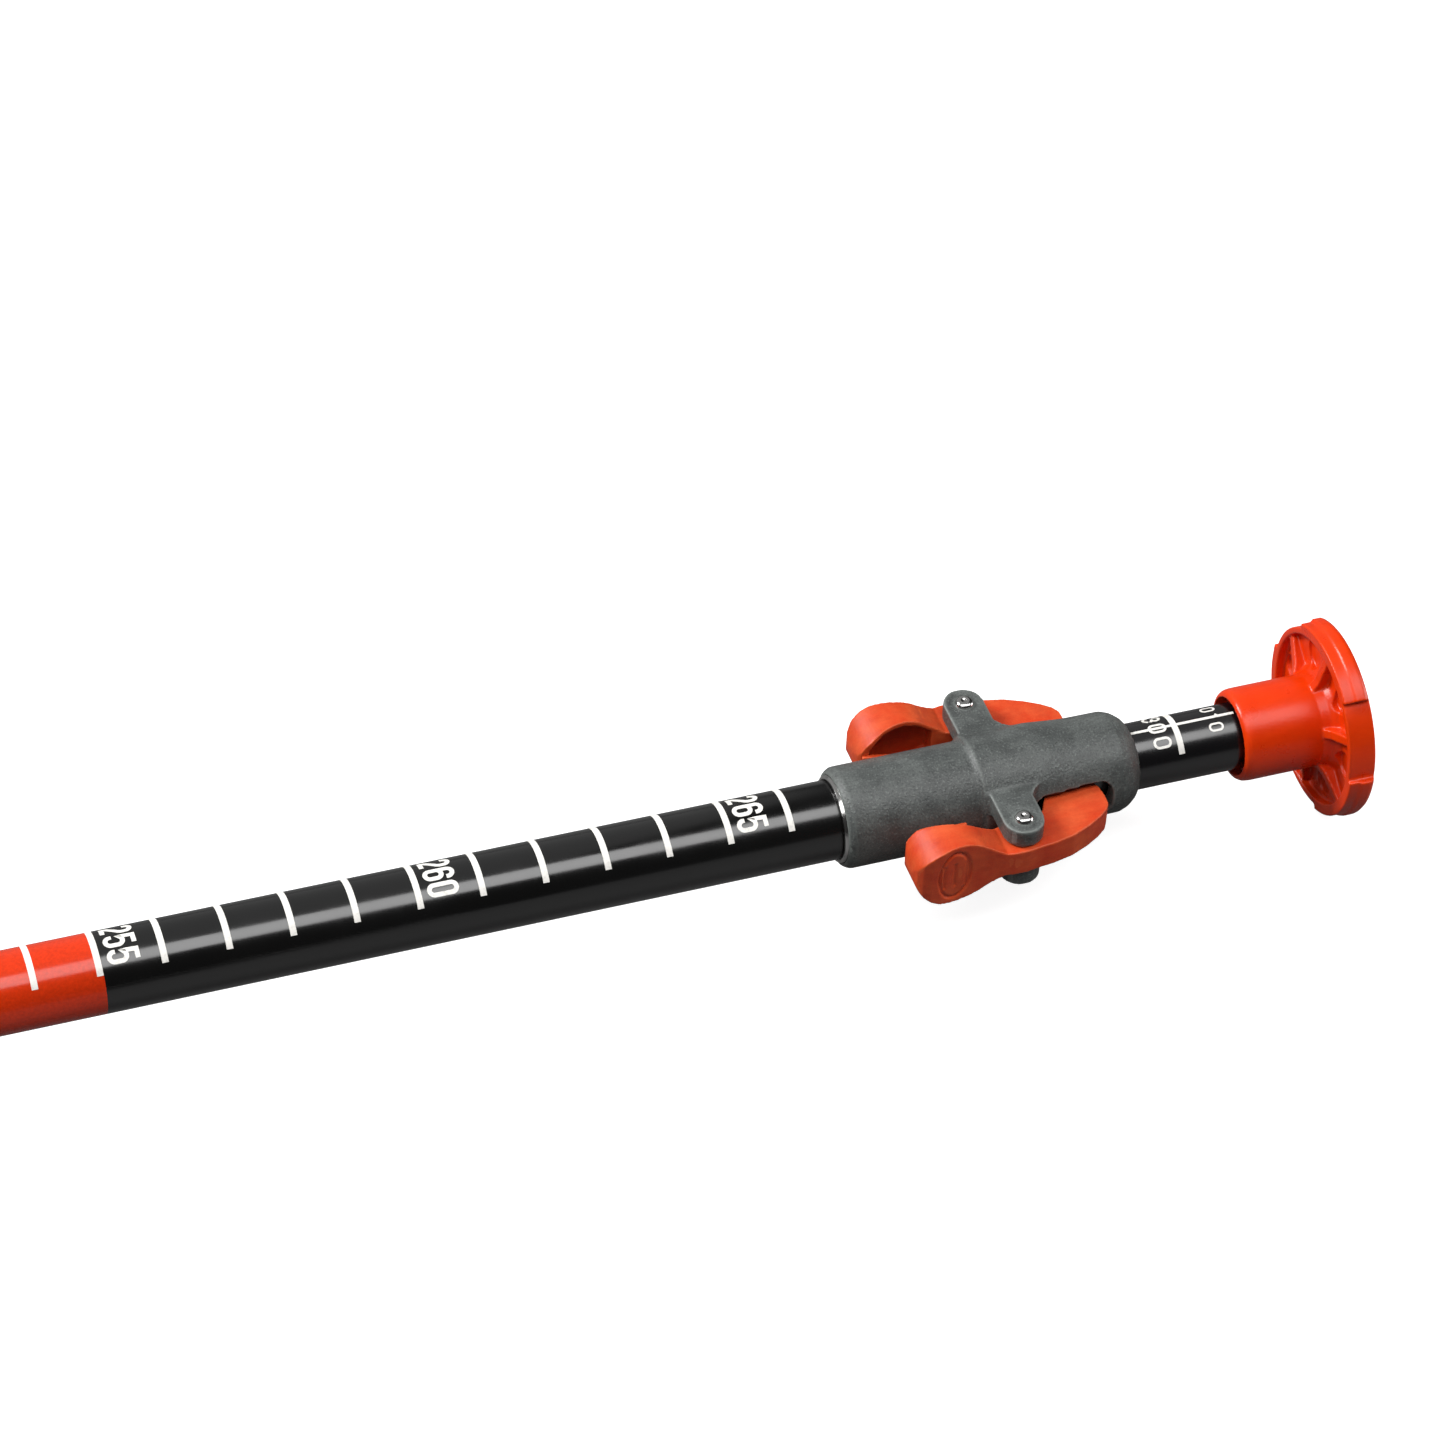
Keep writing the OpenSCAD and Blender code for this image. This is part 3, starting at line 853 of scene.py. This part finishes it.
@dataclass
class ProbeSection:
    """One tube of the probe with its bands, ticks and numbers. Local X points to the handle."""

    palette: Palette
    letter: str
    body: str
    place: Place
    low: float
    high: float
    zero_reading: float
    last_mark: float
    outer: float = 6.4
    bore: float = 5.5
    chamfer: float = 0.35
    tick_pitch: float = 10.0
    tick_width: float = 1.0
    tick_sweep: float = 96.0
    number_gap: float = 1.5
    band_half: float = 50.0
    band_pitch: float = 500.0
    figures: Numerals = field(default_factory=lambda: Numerals(5.0, 2.3, 0.72, 2.72))

    def bands(self) -> list[Pair]:
        """Finds the red bands that fall on this section.

        Returns:
            Start and end of each band, local.
        """
        out = []
        centre = self.band_pitch
        while centre < self.zero_reading + self.high + self.band_half:
            a = centre - self.band_half - self.zero_reading
            b = centre + self.band_half + self.tick_width / 2 - self.zero_reading
            a, b = max(a, self.low + 1.0), min(b, self.high - 1.0)
            if b - a > 2:
                out.append((a, b))
            centre += self.band_pitch
        return out

    def build(self, ticks: TickPrinter) -> list[bpy.types.Object]:
        """Builds the tube and its print.

        Args:
            ticks: printer of tick rows.

        Returns:
            The tube, the ticks and the numbers.
        """
        e, lo, hi = self.chamfer, self.low, self.high
        r = self.outer
        outline = [(lo, self.bore, 0), (lo, r - e, 0), (lo + e / 3, r - e / 3, 0), (lo + e, r, 0)]
        for a, b in self.bands():
            outline += [(a, r, 1), (b, r, 0)]
        outline += [(hi - e, r, 0), (hi - e / 3, r - e / 3, 0), (hi, r - e, 0), (hi, self.bore, 0)]
        bm = bmesh.new()
        turned(bm, outline, TUBE_STEPS)
        paints = [self.palette[Finish.TUBE_BLACK], self.palette[Finish.TUBE_RED]]
        tube = piece(f"section_{self.letter}_tube_skin", bm, self.place, paints)
        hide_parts(f"section_{self.letter}_tube")
        return [tube, self._ticks(ticks), self._numbers()]

    def _first_mark(self) -> int:
        """Finds the reading of the lowest tick, in millimetres."""
        return int(math.ceil((self.zero_reading + self.low + 3) / self.tick_pitch) * self.tick_pitch)

    def _ticks(self, ticks: TickPrinter) -> bpy.types.Object:
        """Prints the row of ticks.

        Args:
            ticks: printer of tick rows.

        Returns:
            The ticks.
        """
        first = self._first_mark()
        count = int((self.last_mark - first) // self.tick_pitch) + 1
        start, seed = first - self.zero_reading, ord(self.letter)
        mesh = ticks.row(count, start, self.tick_pitch, self.tick_width, self.tick_sweep, self.outer, seed)
        mesh.transform(self.place.matrix())
        return shown(f"section_{self.letter}_ticks", mesh, [self.palette[Finish.INK]], 30.0)

    def _numbers(self) -> bpy.types.Object:
        """Prints a number at every fifth tick.

        Returns:
            The numbers.
        """
        bm = bmesh.new()
        reading = self._first_mark()
        while reading <= self.last_mark:
            x = reading - self.zero_reading + self.number_gap
            if reading % 50 == 0 and x + self.figures.height < self.high - 1:
                self.figures.draw(bm, str(reading // 10), x, PRINT_ANGLE, self.outer)
            reading += int(self.tick_pitch)
        return piece(f"section_{self.letter}_numbers", bm, self.place, [self.palette[Finish.INK]])

    def dress(self) -> None:
        """Gives the section's kept CAD nodes their finishes.

        Args:
        """
        paint(f"section_{self.letter}_ferrule", self.palette[Finish.ALUMINIUM])
        paint(f"section_{self.letter}_cord", self.palette[Finish.CORD])


def paint(node: str, material: bpy.types.Material) -> None:
    """Gives a kept CAD node its material.

    Args:
        node: node name, left alone if the frame doesn't have it.
        material: its finish.
    """
    obj = frame["nodes"].get(node)
    if obj is None:
        return
    obj.data.materials.clear()
    obj.data.materials.append(material)
    obj.data.shade_smooth()
    obj.data.set_sharp_from_angle(angle=math.radians(35))


@dataclass
class LockHead:
    """The squeeze lock: housing, bush, pins, levers and spring strips, in the lock's frame."""

    palette: Palette
    place: Place
    pin_x: float = 26.7
    pin_y: float = 13.55
    pin_head: float = 1.55
    ear_out: float = 5.8
    bush_radius: float = 7.05
    oval: tuple[float, float, float] = (14.2, 2.8, 4.7)
    hollow: tuple[tuple[float, float, float], ...] = (
        (9.4, 15.0, 2.9), (10.4, 15.6, 3.7), (12.0, 15.4, 4.8), (14.0, 15.1, 5.1),
        (16.0, 14.9, 5.0), (18.0, 14.8, 4.3), (19.6, 14.7, 3.4), (20.8, 14.5, 2.6),
    )
    end_tuck: dict[str, float] = field(default_factory=lambda: {"near": 0.10, "far": 0.05})
    lever_face: tuple[Pair, ...] = (
        (7.3, 15.0), (7.7, 16.3), (8.6, 17.1), (10.0, 17.45), (12.0, 17.45),
        (14.0, 17.15), (16.0, 16.9), (18.0, 16.8), (20.0, 16.85),
    )
    groove: float = 0.36
    strip_ends: tuple[Pair, Pair] = ((18.0, 8.7), (9.6, 9.8))

    def build(self) -> list[tuple[bpy.types.Object, str]]:
        """Builds the lock.

        Returns:
            Pairs of piece and body.
        """
        housing = softened("lock_housing_skin", "lock_housing", self.palette[Finish.HOUSING], 0.26, 5, 1.0)
        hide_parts("lock_housing")
        out = [(housing, "top_section"), (self._bush(), "top_section")]
        for side, sign in (("near", -1), ("far", 1)):
            out.append((self._pin(side, sign), "top_section"))
            tool = self._hollow(sign, self._oval(sign))
            lever = softened(f"{side}_lever_skin", f"{side}_lever", self.palette[Finish.LEVER], 0.16, 4, 0.5, tool)
            self._tuck(lever, self.end_tuck[side])
            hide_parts(f"{side}_lever")
            out.append((lever, f"{side}_lever_group"))
        return out

    def strips(self) -> None:
        """Builds the two spring strips."""
        for side, sign in (("near", -1), ("far", 1)):
            node = f"{side}_spring_strip"
            strip = softened(f"{node}_skin", node, self.palette[Finish.LEVER], 0.14, 2, 0.6)
            self._tuck(strip, self.end_tuck[side])
            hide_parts(f"{side}_spring_strip")
            start, end = (self.place.point(x, sign * y) for x, y in self.strip_ends)
            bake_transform(strip)

    def _oval(self, sign: int) -> bmesh.types.BMesh:
        """Makes the tool that engraves a plain oval on a lever's pad.

        Args:
            sign: side of the lock, +1 for the far side.

        Returns:
            The tool in row metres.
        """
        cx, a, b = self.oval
        bm = bmesh.new()
        steps, sides = 96, 8
        rings = []
        for i in range(steps):
            t = 2 * math.pi * i / steps
            x, z = cx + a * math.cos(t), b * math.sin(t)
            y = self._face(x)
            out = Vector((math.cos(t) / a, 0, math.sin(t) / b)).normalized()
            ring = []
            for k in range(sides):
                q = 2 * math.pi * k / sides
                p = Vector((x, y, z)) + self.groove * (out * math.cos(q) + Vector((0, math.sin(q), 0)))
                ring.append(bm.verts.new((p.x, sign * p.y, p.z)))
            rings.append(ring)
        for i in range(steps):
            for k in range(sides):
                n = (k + 1) % sides
                bm.faces.new((rings[i][k], rings[i][n], rings[(i + 1) % steps][n], rings[(i + 1) % steps][k]))
        bm.transform(self.place.matrix())
        return bm

    def _hollow(self, sign: int, bm: bmesh.types.BMesh) -> bmesh.types.BMesh:
        """Adds the hollow in the pad's inner face to the cutting tool.

        Args:
            sign: side of the lock, +1 for the far side.
            bm: the tool so far, in row metres.

        Returns:
            The tool.
        """
        turn = self.place.matrix()
        rings = []
        for x, deep, half in self.hollow:
            corners = ((8.0, -half), (8.0, half), (deep, half), (deep, -half))
            rings.append([bm.verts.new(turn @ Vector((x, sign * y, z))) for y, z in corners])
        for first, second in zip(rings, rings[1:]):
            for k in range(4):
                bm.faces.new((first[k], first[(k + 1) % 4], second[(k + 1) % 4], second[k]))
        bm.faces.new(rings[0][::-1])
        bm.faces.new(rings[-1])
        return bm

    def _tuck(self, lever: bpy.types.Object, share: float) -> None:
        """Draws the pad's round end in a little.

        Args:
            lever: the lever's skin.
            share: how much of the distance to the pad's middle is taken up.
        """
        turn = self.place.matrix()
        back = turn.inverted()
        for vertex in lever.data.vertices:
            spot = back @ vertex.co
            if spot.x < self.oval[0]:
                spot.x += share * (self.oval[0] - spot.x)
                vertex.co = turn @ spot
        lever.data.update()

    def _face(self, x: float) -> float:
        """Height of the pad's outer face.

        Args:
            x: place along the lock.

        Returns:
            Distance from the tube axis.
        """
        for (xa, ya), (xb, yb) in zip(self.lever_face, self.lever_face[1:]):
            if xa <= x <= xb:
                return ya + (yb - ya) * (x - xa) / (xb - xa)
        return self.lever_face[-1][1]

    def _bush(self) -> bpy.types.Object:
        """Turns the bright bush in the lock's lower mouth.

        Returns:
            The bush.
        """
        r = self.bush_radius
        bm = bmesh.new()
        lip = [(-0.05, r, 0), (-0.28, r - 0.12, 0), (-0.35, r - 0.3, 0), (-0.35, 6.6, 0), (-0.2, 6.41, 0)]
        turned(bm, [(5, 6.41, 0), (5, r, 0)] + lip, 96)
        bush = piece("collar_bush_skin", bm, self.place, [self.palette[Finish.STEEL]])
        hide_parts("collar_bush")
        return bush

    def _pin(self, side: str, sign: int) -> bpy.types.Object:
        """Turns a lever pin with a domed, dimpled head at each end.

        Args:
            side: near or far.
            sign: side of the lock.

        Returns:
            The pin.
        """
        top, r = self.ear_out, self.pin_head
        dimple = [(0.42, 0.0), (0.44, 0.22), (0.6, 0.42), (0.68, 0.62)]
        dome = [(0.64, 0.9), (0.5, 1.2), (0.24, 1.42), (-0.05, r), (-0.3, r), (-0.3, 1.3)]
        head = [(top + x, q) for x, q in dimple + dome]
        outline = [(x, q, 0) for x, q in head] + [(-x, q, 0) for x, q in reversed(head)]
        bm = bmesh.new()
        turned(bm, outline, 64)
        place = Place(self.place.point(self.pin_x, sign * self.pin_y), upright=True)
        pin = piece(f"{side}_pin_skin", bm, place, [self.palette[Finish.STEEL]], 50.0)
        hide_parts(f"{side}_pin")
        return pin


@dataclass
class PullHandle:
    """The handle and the inner tube it pulls, in the lock's frame."""

    palette: Palette
    place: Place
    low: float = -265.6
    high: float = 82.9
    outer: float = 5.42
    bore: float = 4.6
    full_mark: float = 57.3
    full_reading: int = 3000
    line_end: float = 67.6
    line_start: float = -214.7
    mark_width: float = 0.95
    tick_count: int = 27

    def build(self, ticks: TickPrinter) -> list[bpy.types.Object]:
        """Builds the handle group.

        Args:
            ticks: printer of tick rows.

        Returns:
            The pieces, all on the handle's body.
        """
        handle = softened("pull_handle_skin", "pull_handle", self.palette[Finish.HANDLE], 0.2, 3, 0.5)
        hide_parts("pull_handle")
        e = 0.3
        bm = bmesh.new()
        r, low, high = self.outer, self.low, self.high
        lower = [(low, self.bore, 0), (low, r - e, 0), (low + e, r, 0)]
        turned(bm, lower + [(high - e, r, 0), (high, r - e, 0), (high, self.bore, 0)], TUBE_STEPS)
        tube = piece("inner_tube_skin", bm, self.place, [self.palette[Finish.INNER_BLACK]])
        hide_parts("inner_tube")
        count = self.tick_count
        mesh = ticks.row(count, self.full_mark - 10 * count, 10.0, 0.7, 70.0, self.outer, 7)
        mesh.transform(self.place.matrix())
        row = shown("inner_tube_ticks", mesh, [self.palette[Finish.INK]], 30.0)
        return [handle, tube, row, self._numbers()]

    def _numbers(self) -> bpy.types.Object:
        """Prints the full-length mark, the long line and the numbers on the inner tube.

        Returns:
            The print.
        """
        bm = bmesh.new()
        small = Numerals(3.1, 1.9, 0.42, 2.75)
        tiny = Numerals(2.5, 1.5, 0.34, 2.05)
        wide = Numerals(4.0, 1.9, 0.55, 2.3)
        r = self.outer

        def along(u: float, v: float, radius: float) -> Vector:
            """Puts a point of the flat print on the tube."""
            a = math.radians(PRINT_ANGLE) + u / r
            return Vector((v, radius * math.cos(a), radius * math.sin(a)))

        half = self.mark_width * r
        ribbon(bm, [(-half, self.full_mark), (half, self.full_mark)], False, 0.5, along, (r - 0.04, r + 0.035))
        ribbon(bm, [(0, self.line_start), (0, self.line_end)], False, 0.24, along, (r - 0.04, r + 0.034))
        small.draw(bm, str(self.full_reading // 10), self.full_mark - 4.4, PRINT_ANGLE, r)
        tiny.draw(bm, "010", 62.7, 91.0, r)
        for k in range(1, 6):
            wide.draw(bm, str(self.full_reading // 10 - 5 * k), self.full_mark - 50 * k + 1.0, PRINT_ANGLE, r)
        return piece("inner_tube_numbers", bm, self.place, [self.palette[Finish.INK]])


@dataclass
class FoldCord:
    """The cord at one fold: out of a ferrule, round, and back into the next tube's mouth."""

    palette: Palette
    name: str
    before: str
    link: str
    place: Place
    turn: float
    span: float
    lead: float
    tail: float
    corner: float
    radius: float = 1.0

    def build(self) -> None:
        """Builds the cord piece at the fold."""
        sign = math.copysign(1.0, self.turn)
        half = abs(self.turn) / 2
        path: list[Vector] = []
        at, heading = Vector((0.0, 0.0, 0.0)), 0.0

        def forward(length: float, parts: int) -> None:
            """Goes straight on."""
            nonlocal at
            step = Vector((math.cos(heading), math.sin(heading), 0)) * length / parts
            for _ in range(parts):
                at = at + step
                path.append(at.copy())

        def corner() -> None:
            """Goes round half the fold's turn."""
            nonlocal at, heading
            parts = 12
            for _ in range(parts):
                mid = heading + sign * half / parts / 2
                at = at + Vector((math.cos(mid), math.sin(mid), 0)) * (2 * self.corner * math.sin(half / parts / 2))
                heading += sign * half / parts
                path.append(at.copy())

        path.append(at.copy())
        forward(self.lead, 6)
        corner()
        first = len(path) - 1
        forward(self.span, 1)
        second = len(path) - 1
        corner()
        forward(self.tail, 24)
        bm = bmesh.new()
        sweep(bm, path, self.radius)
        cord = piece(f"fold_cord_{self.name}", bm, self.place, [self.palette[Finish.BRAIDED]], 60.0)
        a, b = self.place.matrix() @ path[first], self.place.matrix() @ path[second]
        reach = (b - a) * (self.radius * MM + 0.0002) / (b - a).length
        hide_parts(f"loop_{self.name}", f"tail_{self.name}")
        a + reach
        b - reach
        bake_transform(cord)


@dataclass(frozen=True)
class SoftBox:
    """A rectangular soft light. Its place is from the lock in metres, and untilted it faces down."""

    name: str
    place: tuple[float, float, float]
    tilt: tuple[float, float, float]
    size: Pair
    watts: float

    def hang(self, target: Vector) -> None:
        """Adds the light.

        Args:
            target: where the lock is.
        """
        light = bpy.data.lights.new(self.name, "AREA")
        light.shape, light.size, light.size_y = "RECTANGLE", *self.size
        light.energy = self.watts
        obj = linked(self.name, light)
        obj.location = target + Vector(self.place)
        obj.rotation_euler = [math.radians(angle) for angle in self.tilt]


@dataclass
class Studio:
    """White table, soft boxes and the camera."""

    target: Vector
    floor_z: float = -0.0168
    floor_half: float = 14.0
    lens_mm: float = 124.57
    eye: tuple[float, float, float] = (-0.2096, -0.5181, 0.5552)
    look: tuple[float, float, float] = (0.249, 0.6777, -0.6919)
    right: tuple[float, float, float] = (0.9491, -0.3129, 0.0351)
    boxes: tuple[SoftBox, ...] = (
        SoftBox("top_box", (0.15, -0.275, 0.90), (16.0, 0, 0), (2.0, 0.50), 12.0),
        SoftBox("back_wall", (-0.05, 0.75, 0.78), (-43.9, 0, 0), (1.3, 2.2), 2.6),
        SoftBox("key_left", (-0.95, 0.55, 0.85), (-23.3, -48.2, 0), (0.45, 0.45), 20.0),
        SoftBox("right_card", (0.95, -0.05, 0.12), (3.0, 82.8, 0), (0.4, 0.4), 3.0),
    )

    def build(self) -> None:
        """Sets up floor, lights, world and camera."""
        self._floor()
        for box in self.boxes:
            box.hang(self.target)
        world = bpy.data.worlds.new("studio")
        world.use_nodes = True
        tree = world.node_tree
        tree.nodes.clear()
        path = add_node(tree, "ShaderNodeLightPath").outputs["Is Camera Ray"]
        lit = add_node(tree, "ShaderNodeBackground", {0: (0.035, 0.035, 0.035, 1)}).outputs[0]
        seen = add_node(tree, "ShaderNodeBackground", {0: (1, 1, 1, 1)}).outputs[0]
        mix = add_node(tree, "ShaderNodeMixShader", {0: path, 1: lit, 2: seen})
        add_node(tree, "ShaderNodeOutputWorld", {0: mix.outputs[0]})
        bpy.context.scene.world = world
        bpy.context.scene.view_settings.view_transform = "Standard"
        self._camera()

    def _floor(self) -> None:
        """Lays a plain pale table under the probe."""
        mesh = bpy.data.meshes.new("table")
        s, z = self.floor_half, self.floor_z
        mesh.from_pydata([(-s, -s, z), (s, -s, z), (s, s, z), (-s, s, z)], [], [(0, 1, 2, 3)])
        table = linked("table", mesh)
        shader = Shader("white_table")
        dim = shader.add("BsdfDiffuse", {"Color": (0.15, 0.15, 0.15, 1)})
        bright = shader.add("BsdfDiffuse", {"Color": (0.5, 0.5, 0.5, 1)})
        glow = shader.add("Emission", {"Color": (1, 1, 1, 1), "Strength": 0.86})
        both = shader.add("AddShader", {0: bright.outputs[0], 1: glow.outputs[0]})
        path = shader.add("LightPath")
        mix = shader.add("MixShader", {0: path.outputs["Is Camera Ray"], 1: dim.outputs[0], 2: both.outputs[0]})
        shader.add("OutputMaterial", {0: mix.outputs[0]})
        mesh.materials.append(shader.material)

    def _camera(self) -> None:
        """Places the camera."""
        data = bpy.data.cameras.new("camera")
        data.lens, data.sensor_width = self.lens_mm, 36.0
        data.clip_start, data.clip_end = 0.02, 20.0
        back = -Vector(self.look).normalized()
        up = back.cross(Vector(self.right)).normalized()
        turn = Matrix((up.cross(back).normalized(), up, back)).transposed()
        obj = linked("camera", data)
        obj.matrix_world = Matrix.Translation(self.target + Vector(self.eye)) @ turn.to_4x4()
        bpy.context.scene.camera = obj


@dataclass
class SnowProbe:
    """The whole probe: top section with its lock and handle, and the folded bundle."""

    lock_x: float
    palette: Palette = field(default_factory=Palette)
    splay: float = math.radians(22)
    section_length: float = 450.0
    top_start: float = 2250.0
    lock_reading: float = 2668.5
    pitch: float = 13.6
    mouth_offset: float = 8.25
    ferrule_out: float = 15.0
    tube_in_lock: float = 24.0
    top_drop: float = 13.0
    first_lead: float = 9.0
    corner: float = 4.0
    hinges: dict[str, Pair] = field(
        default_factory=lambda: {
            "ab": (-0.51575, -0.013),
            "bc": (-0.0906359, -0.2061122),
            "cd": (-0.5282619, -0.0439679),
            "de": (-0.1008252, -0.2313316),
            "ef": (-0.5384512, -0.0691873),
        }
    )

    def __post_init__(self) -> None:
        """Works out the directions of the bundle."""
        self.along = Vector((math.cos(self.splay), -math.sin(self.splay), 0))
        self.aside = Vector((math.sin(self.splay), math.cos(self.splay), 0))

    def sections(self) -> list[ProbeSection]:
        """Lists the six sections with their places.

        Returns:
            The sections from the handle to the tip.
        """
        lock = Place(Vector((self.lock_x, 0, 0)))
        reading, low = self.lock_reading, self.top_start - self.lock_reading
        out = [ProbeSection(self.palette, "a", "top_section", lock, low, self.tube_in_lock, reading, reading - 5)]
        for k, letter in enumerate("bcdef"):
            forward = 1 if k % 2 == 0 else -1
            x, y = self.hinges[("a" if k == 0 else "bcde"[k - 1]) + letter]
            drop = self.top_drop if k == 0 else self.pitch / 2
            mouth = Vector((x, y, 0)) + (self.along * forward * self.mouth_offset - self.aside * drop) * MM
            heading = -self.splay + (math.pi if forward > 0 else 0.0)
            start = self.top_start - self.section_length * k
            body, place, low = f"section_{letter}", Place(mouth, heading), -self.section_length
            out.append(ProbeSection(self.palette, letter, body, place, low, 0.0, start, start - 5))
        return out

    def folds(self) -> list[FoldCord]:
        """Lists the cord pieces at the five folds.

        Returns:
            The folds.
        """
        start = Vector((self.lock_x + (self.top_start - self.lock_reading - self.ferrule_out) * MM, 0, 0))
        mouth = Vector((*self.hinges["ab"], 0)) + (self.along * self.mouth_offset - self.aside * self.top_drop) * MM
        folds = [self._first_fold(start, mouth, math.pi - self.splay)]
        letters = "bcdef"
        for k in range(4):
            name = letters[k] + letters[k + 1]
            x, y = self.hinges[name]
            forward = 1 if k % 2 == 0 else -1
            out_of_tube = self.ferrule_out - self.mouth_offset
            begin = Vector((x, y, 0)) + (self.along * forward * out_of_tube + self.aside * self.pitch / 2) * MM
            heading = -self.splay if forward > 0 else math.pi - self.splay
            turn = -math.pi if forward > 0 else math.pi
            lead = 1.0 + self.pitch / 2 - self.corner
            tail = lead + 2 * self.ferrule_out
            before, place, span = f"section_{letters[k]}", Place(begin, heading), self.pitch - 2 * self.corner
            folds.append(FoldCord(self.palette, name, before, f"link_{name}", place, turn, span, lead, tail, self.corner))
        return folds

    def _first_fold(self, start: Vector, mouth: Vector, bend: float) -> FoldCord:
        """Works out the wide loop between the top section and the bundle.

        Args:
            start: where the cord leaves the top ferrule, in metres.
            mouth: mouth of the second section.
            bend: angle of the loop.

        Returns:
            The fold.
        """
        place = Place(start, math.pi)
        local = place.matrix().inverted() @ mouth
        reach = self.corner * math.tan(bend / 4)
        lead = self.first_lead
        way = Vector((math.cos(bend), math.sin(bend), 0))
        mid = Vector((math.cos(bend / 2), math.sin(bend / 2), 0))
        knee = Vector((lead + reach, 0, 0))
        det = mid.x * -way.y + way.x * mid.y
        gap = local - knee
        span_full = (gap.x * -way.y + way.x * gap.y) / det
        tail_full = (mid.y * gap.x - mid.x * gap.y) / det
        span, tail = span_full - 2 * reach, tail_full - reach + self.ferrule_out
        return FoldCord(self.palette, "ab", "top_section", "link_ab", place, bend, span, lead, tail, self.corner)

    def build(self) -> None:
        """Builds and places every piece, and finishes the kept CAD nodes."""
        ticks = TickPrinter(self.palette[Finish.INK])
        for section in self.sections():
            for obj in section.build(ticks):
                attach(obj, section.body)
            section.dress()
        lock_place = Place(Vector((self.lock_x, 0, 0)))
        lock = LockHead(self.palette, lock_place)
        for obj, body in lock.build():
            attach(obj, body)
        lock.strips()
        for obj in PullHandle(self.palette, lock_place).build(ticks):
            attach(obj, "pull_handle_group")
        for fold in self.folds():
            fold.build()
        hidden = {
            "handle_screw": Finish.BLACK_SCREW,
            "cord_anchor": Finish.ALUMINIUM,
            "cord_stop": Finish.STEEL,
            "probe_tip": Finish.STEEL,
        }
        for node, finish in hidden.items():
            paint(node, self.palette[finish])


def main() -> None:
    """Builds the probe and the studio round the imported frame."""
    logging.basicConfig(level=logging.INFO, format="%(message)s")
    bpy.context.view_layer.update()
    lock_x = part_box("lock_housing")[0][0]
    SnowProbe(lock_x).build()
    Studio(Vector((lock_x, 0, 0))).build()


if __name__ == "__main__":
    main()
